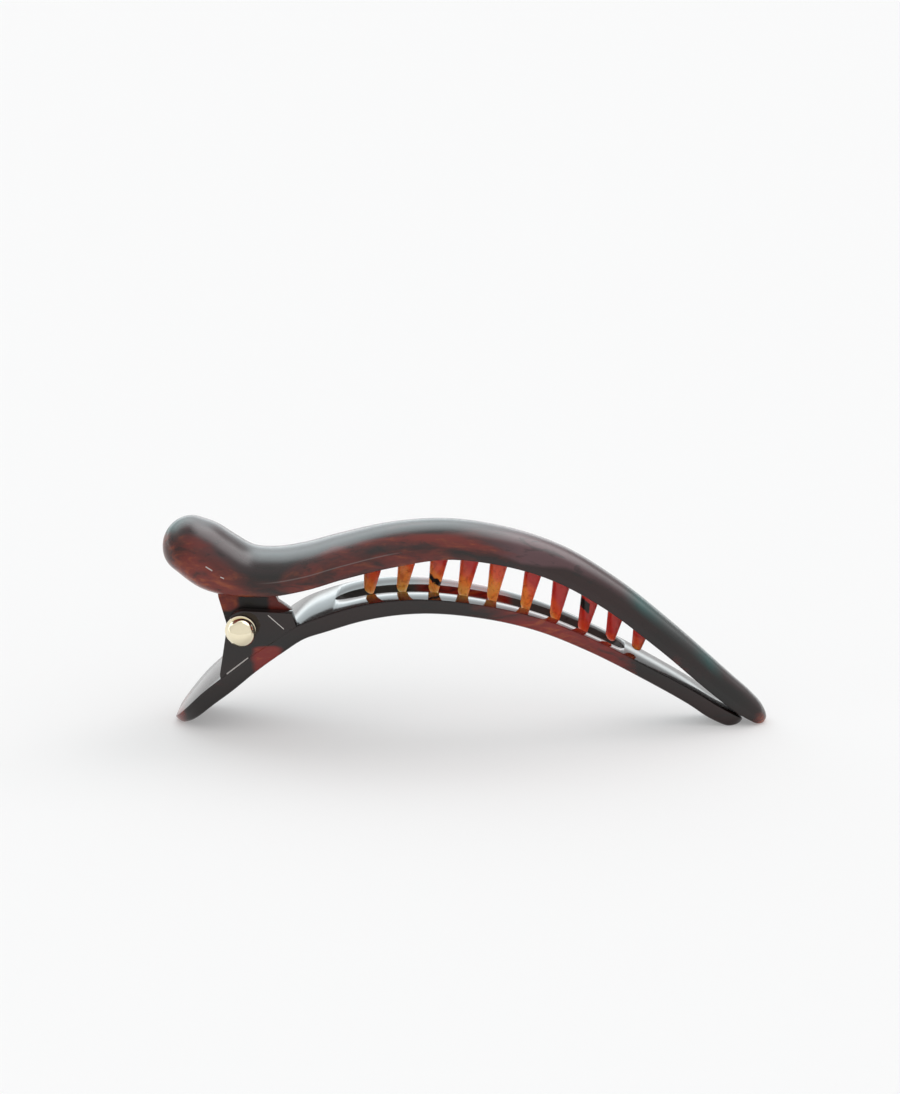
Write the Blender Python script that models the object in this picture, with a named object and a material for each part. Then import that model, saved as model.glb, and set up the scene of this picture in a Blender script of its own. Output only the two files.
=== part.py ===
"""A long beak hair clip: two curved jaws that turn on a pin with ball ends and are pressed shut by a coil spring.

The clip lies as it would on a table, on the end of its finger tab and on its two tips.
X runs along the clip to its tips, Y across it and Z up. The origin is under its middle, on the table.
"""

import math

import bmesh
import bpy
import numpy as np

MM = 0.001

# The hinge, in mm
PIVOT_X = -43.7
PIVOT_Z = 22.0
PIN_RADIUS = 1.0
PIN_CLEARANCE = 0.3
BALL_RADIUS = 2.8
BALL_CENTRE_Y = 15.0
BALL_RINGS = 14
# The washers are loose on the pin: they hang a little low and to the tab's side
WASHER_X = -44.05
WASHER_Z = 21.7
WASHER_RADIUS = 3.3
WASHER_BORE_RADIUS = 1.8
WASHER_INNER_Y = 11.5
WASHER_THICKNESS = 0.7
ROUND_SIDES = 24

# The ears, which stand on the jaws' edges. The upper jaw's pair turns inside the lower jaw's pair.
LOWER_EAR_OUTER_Y = 11.2
LOWER_EAR_THICKNESS = 2.5
EAR_GAP = 0.3
UPPER_EAR_THICKNESS = 2.2
LOWER_EAR_RADIUS = 3.3
UPPER_EAR_RADIUS = 3.7
ARC_POINTS = 7
# The straight sides of each ear, after its round end. They run on into the jaw. The far ears are narrower.
LOWER_EAR_SIDES = (
    # x, height
    (-34.1, 24.9),
    (-33.3, 22.4),
    (-33.0, 20.6),
    (-38.0, 17.4),
    (-43.5, 13.6),
    (-48.3, 9.8),
    (-48.6, 12.2),
)
FAR_LOWER_EAR_SIDES = (
    # x, height
    (-40.4, 25.3),
    (-38.9, 22.4),
    (-38.6, 17.2),
    (-43.5, 13.6),
    (-48.3, 9.8),
    (-48.6, 12.2),
)
UPPER_EAR_SIDES = (
    # x, height
    (-35.0, 23.8),
    (-34.3, 24.7),
    (-37.0, 26.6),
    (-38.5, 29.6),
    (-46.0, 30.5),
    (-49.2, 29.8),
    (-48.9, 27.4),
)
FAR_UPPER_EAR_SIDES = (
    # x, height
    (-39.4, 22.6),
    (-38.9, 25.6),
    (-39.4, 29.6),
    (-46.0, 30.5),
    (-49.2, 29.8),
    (-48.9, 27.4),
)

# The spring between the ears
WIRE_RADIUS = 0.5
COIL_RADIUS = 1.9
COIL_TURNS = 4
COIL_PITCH = 1.35
COIL_POINTS = 12
LOWER_LEG_END = (-48.0, 12.95)
UPPER_LEG_END = (-50.2, 26.9)

# The jaws. A row is one section, across the curve of the jaw, and the jaw runs smoothly through the rows.
# Lower jaw: x and height of its top face, half its width, and its thickness.
LOWER_JAW_ROWS = (
    # x, top, half width, thickness
    (-59.2, 0.55, 9.2, 1.8),
    (-56.6, 3.60, 9.9, 2.8),
    (-53.0, 7.45, 10.5, 3.3),
    (-48.2, 11.6, 11.4, 3.5),
    (-43.5, 15.3, 11.4, 3.3),
    (-38.0, 19.1, 11.3, 3.1),
    (-33.0, 22.4, 11.4, 3.1),
    (-28.5, 24.2, 11.5, 3.3),
    (-20.7, 26.4, 10.7, 3.3),
    (-9.0, 27.3, 9.2, 3.0),
    (3.0, 26.0, 8.1, 2.8),
    (15.0, 22.95, 6.9, 2.75),
    (25.6, 18.5, 6.2, 2.75),
    (36.9, 12.6, 5.7, 2.8),
    (46.4, 7.2, 4.9, 3.0),
    (51.5, 3.9, 4.4, 3.1),
    (54.3, 2.3, 4.1, 2.7),
    (56.4, 1.1, 3.9, 1.6),
)
TAB_END_ROUNDING = 9.0
LOWER_TIP_ROUNDING = 3.2
EDGE_ROUNDING = 0.3
UNDER_EDGE_ROUNDING = 0.6
NOSE_ROUNDING = 1.3

# Upper jaw: each section runs from a point of the underside to a point of the crest. It is widest at a share
# of that height, and the belly below its widest line is squarer where the underside is flat.
UPPER_JAW_ROWS = (
    # crest x, crest height, underside x, underside height, half width, widest at, squareness
    (-58.2, 43.1, -62.3, 33.6, 8.9, 0.50, 2.1),
    (-54.0, 41.5, -58.3, 31.6, 10.0, 0.45, 2.2),
    (-50.2, 40.1, -53.4, 28.5, 10.5, 0.38, 2.5),
    (-46.5, 37.7, -48.6, 27.5, 10.9, 0.27, 3.0),
    (-42.7, 35.5, -43.8, 27.6, 11.1, 0.16, 4.0),
    (-38.3, 35.2, -38.0, 28.0, 11.2, 0.09, 5.0),
    (-33.0, 36.0, -31.4, 29.4, 11.4, 0.07, 6.0),
    (-26.1, 37.9, -24.4, 31.5, 11.1, 0.07, 6.0),
    (-14.2, 40.65, -13.1, 34.0, 9.7, 0.07, 6.0),
    (-3.8, 41.35, -3.8, 35.2, 8.8, 0.08, 6.0),
    (5.9, 40.2, 4.8, 34.3, 8.0, 0.08, 6.0),
    (19.4, 36.0, 17.0, 30.7, 6.8, 0.08, 6.0),
    (31.0, 28.9, 27.8, 24.6, 6.1, 0.09, 6.0),
    (41.8, 20.2, 38.5, 16.3, 5.6, 0.09, 6.0),
    (53.9, 9.4, 50.9, 5.6, 4.6, 0.10, 6.0),
    (57.7, 6.0, 55.0, 2.4, 4.2, 0.12, 6.0),
    (59.9, 3.5, 57.3, 1.0, 3.9, 0.18, 5.0),
    (60.75, 1.8, 59.1, 0.1, 3.7, 0.20, 5.0),
    (60.95, 0.9, 60.5, -0.1, 3.5, 0.30, 4.0),
)
DOME_FULLNESS = 2.15
DOME_POINTS = 17
BELLY_POINTS = 9
PAD_END_ROUNDING = 4.6
PAD_PLAN_ROUNDING = 8.0
UPPER_TIP_ROUNDING = 3.0

# How many sections a jaw is drawn through: in each rounded end, and between them
END_STATIONS = 9
MIDDLE_STATIONS = 44
# The share of a rounded end's turn at which its first section stands
FIRST_STATION = 0.08

# The slot in the lower jaw that the teeth reach into
SLOT_START_X = -26.3
SLOT_END_X = 32.0
SLOT_START_LENGTH = 5.0
SLOT_END_LENGTH = 2.4
SLOT_HALF_WIDTH_START = 3.0
SLOT_HALF_WIDTH_END = 2.8
SLOT_END_POINTS = 6
SLOT_CUT_HEIGHT = 50.0

# The teeth under the upper jaw: the left edge and height of each tip, how wide the tooth is at the underside,
# and how far its left edge leans to the right for each mm up
TOOTH_ROWS = (
    # left edge x, height, root width, lean
    (-20.55, 26.2, 3.80, 0.0),
    (-14.05, 26.3, 3.65, 0.06),
    (-7.65, 26.1, 3.75, 0.06),
    (-1.80, 25.4, 3.95, 0.08),
    (4.05, 24.4, 3.85, 0.08),
    (10.75, 22.8, 3.75, 0.11),
    (16.75, 20.8, 3.90, 0.07),
    (22.35, 18.4, 4.00, 0.09),
    (28.05, 16.8, 3.70, 0.065),
    (33.35, 14.8, 3.50, 0.055),
)
TOOTH_TIP_WIDTH = 1.8
TOOTH_TIP_DEPTH = 1.6
TOOTH_DEEPENING = 0.16
TOOTH_SIDES = 12
TOOTH_ROOT_DEPTH = 1.5
TOOTH_TIP_HEIGHT = 0.7
# The round tip of a tooth
TOOTH_TIP_ROWS = (
    # rise, share of the full size
    (0.0, 0.35),
    (0.25, 0.75),
    (TOOTH_TIP_HEIGHT, 1.0),
)

# What is taken off below the table
FLOOR_CUT_LENGTH = 200.0
FLOOR_CUT_WIDTH = 100.0
FLOOR_CUT_DEPTH = 4.0


def collection(name):
    made = bpy.data.collections.new(name)
    bpy.context.scene.collection.children.link(made)
    return made


def material(name, colour, roughness, metallic=0.0):
    made = bpy.data.materials.new(name)
    made.use_nodes = True
    shader = made.node_tree.nodes["Principled BSDF"]
    shader.inputs["Base Color"].default_value = (*colour, 1.0)
    shader.inputs["Roughness"].default_value = roughness
    shader.inputs["Metallic"].default_value = metallic
    made.diffuse_color = (*colour, 1.0)
    return made


def add_mesh(name, mesh, where):
    made = bpy.data.objects.new(name, mesh)
    where.objects.link(made)
    return made


def cutter(obj):
    """Keeps a shape that only cuts or joins out of the render."""
    obj.hide_render = True
    obj.display_type = "WIRE"
    return obj


def boolean(obj, other, operation):
    modifier = obj.modifiers.new(operation.title() + " " + other.name, "BOOLEAN")
    modifier.solver = "EXACT"
    modifier.operation = operation
    modifier.object = other


def smooth_table(rows, at):
    """The columns of a table where its rows' own curve has gone the share `at` of its length."""
    table = np.array(rows)
    steps = np.hypot(*np.diff(table[:, :2], axis=0).T)
    knots = np.concatenate([[0.0], np.cumsum(steps)])
    here = np.clip(at, 0.0, 1.0) * knots[-1]
    i = np.clip(np.searchsorted(knots, here) - 1, 0, len(knots) - 2)
    span = (knots[i + 1] - knots[i])[:, None]
    u = ((here - knots[i]) / span[:, 0])[:, None]
    slopes = np.gradient(table, knots, axis=0)
    return (
        (2 * u**3 - 3 * u**2 + 1) * table[i]
        + (u**3 - 2 * u**2 + u) * span * slopes[i]
        + (3 * u**2 - 2 * u**3) * table[i + 1]
        + (u**3 - u**2) * span * slopes[i + 1]
    ), knots[-1]


def stations(length, start_rounding, end_rounding):
    """Distances along a jaw, close together in its rounded ends."""
    turn = np.linspace(FIRST_STATION, 1.0, END_STATIONS) * math.pi / 2
    start = start_rounding * (1 - np.cos(turn))
    end = length - end_rounding * (1 - np.cos(turn))
    middle = np.linspace(start[-1], end[-1], MIDDLE_STATIONS)[1:-1]
    return np.concatenate([start, middle, end[::-1]])


def round_off(distance, rounding):
    """How much of its full size a rounded end has at a distance from its tip."""
    return np.sqrt(1 - np.clip(1 - distance / rounding, 0.0, 1.0) ** 2)


def loft(name, centres, normals, rings, where):
    """A closed skin through flat rings of (across, up) points, each ring set on the curve of the jaw."""
    mesh = bmesh.new()
    rows = []
    for (x, z), (normal_x, normal_z), ring in zip(centres, normals, rings):
        rows.append(
            [mesh.verts.new(((x + up * normal_x) * MM, y * MM, (z + up * normal_z) * MM)) for y, up in ring]
        )
    count = len(rows[0])
    for first, second in zip(rows, rows[1:]):
        for k in range(count):
            following = (k + 1) % count
            mesh.faces.new((first[k], first[following], second[following], second[k]))
    mesh.faces.new(rows[0][::-1])
    mesh.faces.new(rows[-1])
    bmesh.ops.recalc_face_normals(mesh, faces=mesh.faces)
    data = bpy.data.meshes.new(name)
    mesh.to_mesh(data)
    mesh.free()
    return add_mesh(name, data, where)


def frames(table):
    """Points on the curve and the unit vectors across it, upwards."""
    centres = table[:, :2]
    along = np.gradient(centres, axis=0)
    along /= np.linalg.norm(along, axis=1)[:, None]
    normals = np.stack([-along[:, 1], along[:, 0]], axis=1)
    return centres, normals


def corner(y, up, radius, start_degrees):
    """Three points of a rounded corner."""
    turns = [math.radians(start_degrees + step * 45) for step in range(3)]
    return [(y + radius * math.cos(turn), up + radius * math.sin(turn)) for turn in turns]


def bar_ring(half_width, thickness, share):
    """The lower jaw's section: a flat bar with soft edges, thinner by share where an end is rounded."""
    top = -thickness * (1 - share) / 2
    bottom = -thickness * (1 + share) / 2
    most = min(half_width, (top - bottom) / 2) * 0.9
    upper = min(EDGE_ROUNDING, most)
    lower = min(UNDER_EDGE_ROUNDING, most)
    return (
        corner(half_width - upper, top - upper, upper, 0)
        + corner(-half_width + upper, top - upper, upper, 90)
        + corner(-half_width + lower, bottom + lower, lower, 180)
        + corner(half_width - lower, bottom + lower, lower, 270)
    )


def dome_ring(half_width, dome, belly, squareness):
    """The upper jaw's section: a dome over a flatter belly."""
    ring = []
    for turn in np.linspace(0.0, math.pi, DOME_POINTS)[:-1]:
        across = math.copysign(abs(math.cos(turn)) ** (2 / DOME_FULLNESS), math.cos(turn))
        ring.append((half_width * across, dome * math.sin(turn) ** (2 / DOME_FULLNESS)))
    for turn in np.linspace(0.0, math.pi, BELLY_POINTS)[:-1]:
        across = math.copysign(abs(math.cos(turn)) ** (2 / squareness), math.cos(turn))
        ring.append((-half_width * across, -belly * math.sin(turn) ** (2 / squareness)))
    return ring


def outline_plate(name, points, thickness, where):
    """A flat plate across Y, of a closed outline of (x, z) points."""
    curve = bpy.data.curves.new(name, "CURVE")
    curve.dimensions = "2D"
    curve.fill_mode = "BOTH"
    curve.extrude = thickness * MM / 2
    spline = curve.splines.new("POLY")
    spline.points.add(len(points) - 1)
    for point, (x, z) in zip(spline.points, points):
        point.co = (x * MM, z * MM, 0.0, 1.0)
    spline.use_cyclic_u = True
    guide = bpy.data.objects.new(name + "_outline", curve)
    where.objects.link(guide)
    return solid_of_curve(name, guide, where)


def solid_of_curve(name, guide, where):
    """The curve's solid as a mesh with its caps welded, in place of the curve."""
    bpy.context.view_layer.update()
    evaluated = guide.evaluated_get(bpy.context.evaluated_depsgraph_get())
    data = bpy.data.meshes.new_from_object(evaluated)
    data.name = name
    mesh = bmesh.new()
    mesh.from_mesh(data)
    bmesh.ops.remove_doubles(mesh, verts=mesh.verts, dist=0.00001)
    bmesh.ops.recalc_face_normals(mesh, faces=mesh.faces)
    mesh.to_mesh(data)
    mesh.free()
    made = add_mesh(name, data, where)
    made.matrix_world = guide.matrix_world.copy()
    bpy.data.objects.remove(guide)
    return made


def arc(radius, start_degrees, end_degrees):
    """Points round the pivot."""
    turns = np.radians(np.linspace(start_degrees, end_degrees, ARC_POINTS))
    return [(PIVOT_X + radius * math.cos(turn), PIVOT_Z + radius * math.sin(turn)) for turn in turns]


def round_bar(name, radius, length, middle_y, where, sides=ROUND_SIDES):
    """A cylinder across the clip, centred on the hinge."""
    bpy.ops.mesh.primitive_cylinder_add(
        vertices=sides,
        radius=radius * MM,
        depth=length * MM,
        location=(PIVOT_X * MM, middle_y * MM, PIVOT_Z * MM),
        rotation=(math.pi / 2, 0.0, 0.0),
    )
    made = bpy.context.object
    made.name = name
    made.data.name = name
    for owner in list(made.users_collection):
        owner.objects.unlink(made)
    where.objects.link(made)
    return made


def smooth_shading(obj, degrees=35.0):
    obj.data.shade_smooth()
    obj.data.set_sharp_from_angle(angle=math.radians(degrees))


def lower_jaw_base(where):
    _, length = smooth_table(LOWER_JAW_ROWS, np.zeros(1))
    distances = stations(length, TAB_END_ROUNDING, LOWER_TIP_ROUNDING)
    table, _ = smooth_table(LOWER_JAW_ROWS, distances / length)
    centres, normals = frames(table)
    widths = round_off(distances, TAB_END_ROUNDING) * round_off(length - distances, LOWER_TIP_ROUNDING)
    nose = round_off(distances, NOSE_ROUNDING) * round_off(length - distances, NOSE_ROUNDING)
    rings = [
        bar_ring(half * width, thickness, share)
        for (_, _, half, thickness), width, share in zip(table, widths, nose)
    ]
    return loft("lower_jaw", centres, normals, rings, where)


def upper_jaw_base(where):
    _, length = smooth_table(UPPER_JAW_ROWS, np.zeros(1))
    distances = stations(length, PAD_PLAN_ROUNDING, UPPER_TIP_ROUNDING)
    table, _ = smooth_table(UPPER_JAW_ROWS, distances / length)
    crests = table[:, 0:2]
    undersides = table[:, 2:4]
    heights = np.linalg.norm(crests - undersides, axis=1)
    normals = (crests - undersides) / heights[:, None]
    centres = undersides + (crests - undersides) * table[:, 5:6]
    widths = round_off(distances, PAD_PLAN_ROUNDING) * round_off(length - distances, UPPER_TIP_ROUNDING)
    ends = round_off(distances, PAD_END_ROUNDING)
    rings = [
        dome_ring(row[4] * width, height * (1 - row[5]) * end, height * row[5] * end, row[6])
        for row, height, width, end in zip(table, heights, widths, ends)
    ]
    return loft("upper_jaw", centres, normals, rings, where)


def lower_ear(name, side, where):
    sides = LOWER_EAR_SIDES if side < 0 else FAR_LOWER_EAR_SIDES
    outline = arc(LOWER_EAR_RADIUS, 180, 90) + list(sides)
    plate = outline_plate(name, outline, LOWER_EAR_THICKNESS, where)
    place_ear(plate, side, LOWER_EAR_OUTER_Y - LOWER_EAR_THICKNESS / 2)
    return plate


def upper_ear(name, side, where):
    sides = UPPER_EAR_SIDES if side < 0 else FAR_UPPER_EAR_SIDES
    outline = arc(UPPER_EAR_RADIUS, 180, 315) + list(sides)
    outer = LOWER_EAR_OUTER_Y - LOWER_EAR_THICKNESS - EAR_GAP
    plate = outline_plate(name, outline, UPPER_EAR_THICKNESS, where)
    place_ear(plate, side, outer - UPPER_EAR_THICKNESS / 2)
    return plate


def place_ear(plate, side, middle_y):
    plate.rotation_euler = (math.pi / 2, 0.0, 0.0)
    plate.location = (0.0, side * middle_y * MM, 0.0)


def underside_height(x):
    """Height of the upper jaw's underside at x."""
    rows = np.array(UPPER_JAW_ROWS)
    return float(np.interp(x, rows[:, 2], rows[:, 3]))


def tooth_ring(mesh, middle_x, height, width, depth):
    ring = []
    for k in range(TOOTH_SIDES):
        turn = 2 * math.pi * k / TOOTH_SIDES
        x = middle_x + width / 2 * math.cos(turn)
        ring.append(mesh.verts.new((x * MM, depth / 2 * math.sin(turn) * MM, height * MM)))
    return ring


def teeth(where):
    """All the teeth as one mesh: each is a tapered peg that leans a little and has a round tip."""
    mesh = bmesh.new()
    for left_x, tip_z, root_width, lean in TOOTH_ROWS:
        tip_x = left_x + TOOTH_TIP_WIDTH / 2
        length = underside_height(tip_x) + TOOTH_ROOT_DEPTH - tip_z
        widening = (root_width - TOOTH_TIP_WIDTH) / (length - TOOTH_ROOT_DEPTH - TOOTH_TIP_HEIGHT)
        tapered = length - TOOTH_TIP_HEIGHT
        root_width = TOOTH_TIP_WIDTH + widening * tapered
        root_x = left_x + lean * length + root_width / 2
        rings = [
            tooth_ring(mesh, tip_x, tip_z + rise, TOOTH_TIP_WIDTH * share, TOOTH_TIP_DEPTH * share)
            for rise, share in TOOTH_TIP_ROWS
        ]
        root_depth = TOOTH_TIP_DEPTH + TOOTH_DEEPENING * tapered
        rings.append(tooth_ring(mesh, root_x, tip_z + length, root_width, root_depth))
        for first, second in zip(rings, rings[1:]):
            for k in range(TOOTH_SIDES):
                following = (k + 1) % TOOTH_SIDES
                mesh.faces.new((first[k], first[following], second[following], second[k]))
        mesh.faces.new(rings[0][::-1])
        mesh.faces.new(rings[-1])
    bmesh.ops.recalc_face_normals(mesh, faces=mesh.faces)
    data = bpy.data.meshes.new("teeth")
    mesh.to_mesh(data)
    mesh.free()
    return add_mesh("teeth", data, where)


def slot_cutter(where):
    """The slot's outline seen from above, pushed straight through the lower jaw."""
    outline = []
    turns = np.linspace(0.0, math.pi / 2, SLOT_END_POINTS)
    start_middle = SLOT_START_X + SLOT_START_LENGTH
    end_middle = SLOT_END_X - SLOT_END_LENGTH
    for turn in turns:
        x = start_middle - SLOT_START_LENGTH * math.cos(turn)
        outline.append((x, SLOT_HALF_WIDTH_START * math.sin(turn)))
    for turn in turns[::-1]:
        x = end_middle + SLOT_END_LENGTH * math.cos(turn)
        outline.append((x, SLOT_HALF_WIDTH_END * math.sin(turn)))
    outline += [(x, -y) for x, y in outline[-2:0:-1]]
    plate = outline_plate("slot_cutter", outline, SLOT_CUT_HEIGHT, where)
    plate.location = (0.0, 0.0, SLOT_CUT_HEIGHT / 2 * MM)
    return cutter(plate)


def floor_cutter(where):
    """Takes off what would reach below the table, which leaves the flat foot under the tab's end."""
    bpy.ops.mesh.primitive_cube_add(size=1.0)
    made = bpy.context.object
    made.name = "floor_cutter"
    for owner in list(made.users_collection):
        owner.objects.unlink(made)
    where.objects.link(made)
    made.scale = (FLOOR_CUT_LENGTH * MM, FLOOR_CUT_WIDTH * MM, FLOOR_CUT_DEPTH * MM)
    made.location = (0.0, 0.0, -FLOOR_CUT_DEPTH * MM / 2)
    return cutter(made)


def tangent_turn(end, side):
    """The turn round the coil at which a straight leg to the point `end` leaves it."""
    dx = end[0] - PIVOT_X
    dz = end[1] - PIVOT_Z
    return math.atan2(dz, dx) + side * math.acos(COIL_RADIUS / math.hypot(dx, dz))


def spring(where):
    """A coil round the pin with a straight leg to each jaw."""
    half = COIL_TURNS * COIL_PITCH / 2
    start = tangent_turn(LOWER_LEG_END, 1)
    end = tangent_turn(UPPER_LEG_END, -1)
    sweep = (end - start) % (2 * math.pi) + 2 * math.pi * COIL_TURNS
    count = round(sweep / (2 * math.pi) * COIL_POINTS)
    route = [(LOWER_LEG_END[0], -half, LOWER_LEG_END[1])]
    for k in range(count + 1):
        turn = start + sweep * k / count
        y = -half + 2 * half * k / count
        route.append((PIVOT_X + COIL_RADIUS * math.cos(turn), y, PIVOT_Z + COIL_RADIUS * math.sin(turn)))
    route.append((UPPER_LEG_END[0], half, UPPER_LEG_END[1]))
    curve = bpy.data.curves.new("spring", "CURVE")
    curve.dimensions = "3D"
    curve.bevel_depth = WIRE_RADIUS * MM
    curve.bevel_resolution = 2
    curve.use_fill_caps = True
    line = curve.splines.new("POLY")
    line.points.add(len(route) - 1)
    for point, (x, y, z) in zip(line.points, route):
        point.co = (x * MM, y * MM, z * MM, 1.0)
    made = bpy.data.objects.new("spring", curve)
    where.objects.link(made)
    return made


def ball(name, side, bore, where):
    bpy.ops.mesh.primitive_uv_sphere_add(
        segments=ROUND_SIDES,
        ring_count=BALL_RINGS,
        radius=BALL_RADIUS * MM,
        location=(PIVOT_X * MM, side * BALL_CENTRE_Y * MM, PIVOT_Z * MM),
        rotation=(math.pi / 2, 0.0, 0.0),
    )
    made = bpy.context.object
    made.name = name
    made.data.name = name
    for owner in list(made.users_collection):
        owner.objects.unlink(made)
    where.objects.link(made)
    boolean(made, bore, "DIFFERENCE")
    return made


def washer(name, side, where, helpers):
    middle = side * (WASHER_INNER_Y + WASHER_THICKNESS / 2)
    made = round_bar(name, WASHER_RADIUS, WASHER_THICKNESS, middle, where)
    hole = cutter(round_bar(name + "_bore", WASHER_BORE_RADIUS, 2 * WASHER_THICKNESS, middle, helpers))
    for obj in (made, hole):
        obj.location.x = WASHER_X * MM
        obj.location.z = WASHER_Z * MM
    boolean(made, hole, "DIFFERENCE")
    return made


def build():
    for obj in list(bpy.data.objects):
        bpy.data.objects.remove(obj)

    parts = collection("hair_clip")
    helpers = collection("cutters")
    tortoise_upper = material("tortoiseshell upper jaw", (0.075, 0.030, 0.020), 0.12)
    tortoise_lower = material("tortoiseshell lower jaw", (0.050, 0.022, 0.018), 0.12)
    gold = material("polished gold", (0.86, 0.70, 0.42), 0.15, 1.0)
    washer_gold = material("washer gold", (0.86, 0.70, 0.42), 0.22, 1.0)
    steel = material("spring steel", (0.50, 0.50, 0.52), 0.30, 1.0)
    pin_steel = material("pin steel", (0.56, 0.56, 0.57), 0.25, 1.0)

    hole_radius = PIN_RADIUS + PIN_CLEARANCE
    bore_length = 2 * (BALL_CENTRE_Y + PIN_CLEARANCE)
    bore = cutter(round_bar("pin_bore", hole_radius, bore_length, 0.0, helpers))

    lower = lower_jaw_base(parts)
    for name, side in (("lower_ear_near", -1), ("lower_ear_far", 1)):
        boolean(lower, cutter(lower_ear(name, side, helpers)), "UNION")
    boolean(lower, slot_cutter(helpers), "DIFFERENCE")
    boolean(lower, bore, "DIFFERENCE")
    floor = floor_cutter(helpers)
    boolean(lower, floor, "DIFFERENCE")
    lower.data.materials.append(tortoise_lower)

    upper = upper_jaw_base(parts)
    for name, side in (("upper_ear_near", -1), ("upper_ear_far", 1)):
        boolean(upper, cutter(upper_ear(name, side, helpers)), "UNION")
    boolean(upper, cutter(teeth(helpers)), "UNION")
    boolean(upper, bore, "DIFFERENCE")
    boolean(upper, floor, "DIFFERENCE")
    upper.data.materials.append(tortoise_upper)

    pin = round_bar("hinge_pin", PIN_RADIUS, 2 * BALL_CENTRE_Y, 0.0, parts)
    pin.data.materials.append(pin_steel)
    for place, side in (("near", -1), ("far", 1)):
        end_ball = ball("ball_" + place, side, bore, parts)
        end_ball.data.materials.append(gold)
        disc = washer("washer_" + place, side, parts, helpers)
        disc.data.materials.append(washer_gold)
        smooth_shading(end_ball, 60.0)
        smooth_shading(disc)
    coil = spring(parts)
    coil.data.materials.append(steel)
    for obj in (lower, upper, pin):
        smooth_shading(obj)


build()
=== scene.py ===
"""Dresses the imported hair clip: smooth tortoiseshell jaws, amber teeth, gold ball ends and a coil spring."""
import math

import bmesh
import bpy
import numpy as np
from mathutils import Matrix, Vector


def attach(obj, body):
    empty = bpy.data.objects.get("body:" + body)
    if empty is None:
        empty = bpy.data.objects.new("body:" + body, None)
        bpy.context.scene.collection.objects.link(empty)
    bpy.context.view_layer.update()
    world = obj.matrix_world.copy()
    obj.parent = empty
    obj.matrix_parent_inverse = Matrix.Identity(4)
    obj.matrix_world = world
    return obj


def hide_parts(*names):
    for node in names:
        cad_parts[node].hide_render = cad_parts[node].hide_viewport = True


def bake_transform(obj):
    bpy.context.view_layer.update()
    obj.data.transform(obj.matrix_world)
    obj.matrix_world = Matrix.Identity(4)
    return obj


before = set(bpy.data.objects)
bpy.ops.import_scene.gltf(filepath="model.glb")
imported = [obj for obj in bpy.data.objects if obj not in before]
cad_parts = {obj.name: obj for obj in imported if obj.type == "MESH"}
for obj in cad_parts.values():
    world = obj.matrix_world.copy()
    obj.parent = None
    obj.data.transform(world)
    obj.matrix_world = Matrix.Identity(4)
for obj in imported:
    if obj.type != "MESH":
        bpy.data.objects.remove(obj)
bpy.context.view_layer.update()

MM = 0.001
# Points nearer than this, in metres, are one point
WELD = 0.000002
# Edges that turn by more than this stay sharp
SHARP_DEGREES = 40

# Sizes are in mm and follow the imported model, but the washers here are a little smaller and hang lower.
# The hinge
PIVOT_X = -43.7
PIVOT_Z = 22.0
PIN_BORE_RADIUS = 1.3
BALL_RADIUS = 2.8
BALL_CENTRE_Y = 15.0
BALL_BORE_END_Y = 15.3
BALL_STEPS = 40
WASHER_X = -44.2
WASHER_Z = 21.5
WASHER_RADIUS = 3.08
WASHER_BORE_RADIUS = 1.9
WASHER_INNER_Y = 11.5
WASHER_THICKNESS = 0.7
WASHER_RIM = 0.3
WASHER_RIM_STEPS = 8

LOWER_EAR_OUTER_Y = 11.2
LOWER_EAR_THICKNESS = 2.5
EAR_GAP = 0.3
UPPER_EAR_THICKNESS = 2.2
LOWER_EAR_RADIUS = 3.3
UPPER_EAR_RADIUS = 3.7
EAR_EDGE = 0.1
EAR_BEVEL_STEPS = 3
ARC_POINTS = 24
TURNED_STEPS = 64
LOWER_EAR_SIDES = (
    # x, height
    (-34.1, 24.9),
    (-33.3, 22.4),
    (-33.0, 20.6),
    (-38.0, 17.4),
    (-43.5, 13.6),
    (-48.3, 9.8),
    (-48.6, 12.2),
)
FAR_LOWER_EAR_SIDES = (
    # x, height
    (-40.4, 25.3),
    (-38.9, 22.4),
    (-38.6, 17.2),
    (-43.5, 13.6),
    (-48.3, 9.8),
    (-48.6, 12.2),
)
UPPER_EAR_SIDES = (
    # x, height
    (-35.0, 23.8),
    (-34.3, 24.7),
    (-37.0, 26.6),
    (-38.5, 29.6),
    (-46.0, 30.5),
    (-49.2, 29.8),
    (-48.9, 27.4),
)
FAR_UPPER_EAR_SIDES = (
    # x, height
    (-39.4, 22.6),
    (-38.9, 25.6),
    (-39.4, 29.6),
    (-46.0, 30.5),
    (-49.2, 29.8),
    (-48.9, 27.4),
)

WIRE_RADIUS = 0.5
COIL_RADIUS = 1.9
COIL_TURNS = 4
COIL_PITCH = 1.35
COIL_POINTS = 40
WIRE_SIDES = 16
LOWER_LEG_END = (-48.0, 12.95)
UPPER_LEG_END = (-50.2, 26.9)

LOWER_JAW_ROWS = (
    # x, top, half width, thickness
    (-59.2, 0.55, 9.2, 1.8),
    (-56.6, 3.60, 9.9, 2.8),
    (-53.0, 7.45, 10.5, 3.3),
    (-48.2, 11.6, 11.4, 3.5),
    (-43.5, 15.3, 11.4, 3.3),
    (-38.0, 19.1, 11.3, 3.1),
    (-33.0, 22.4, 11.4, 3.1),
    (-28.5, 24.2, 11.5, 3.3),
    (-20.7, 26.4, 10.7, 3.3),
    (-9.0, 27.3, 9.2, 3.0),
    (3.0, 26.0, 8.1, 2.8),
    (15.0, 22.95, 6.9, 2.75),
    (25.6, 18.5, 6.2, 2.75),
    (36.9, 12.6, 5.7, 2.8),
    (46.4, 7.2, 4.9, 3.0),
    (51.5, 3.9, 4.4, 3.1),
    (54.3, 2.3, 4.1, 2.7),
    (56.4, 1.1, 3.9, 1.6),
)
TAB_END_ROUNDING = 9.0
LOWER_TIP_ROUNDING = 3.2
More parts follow.
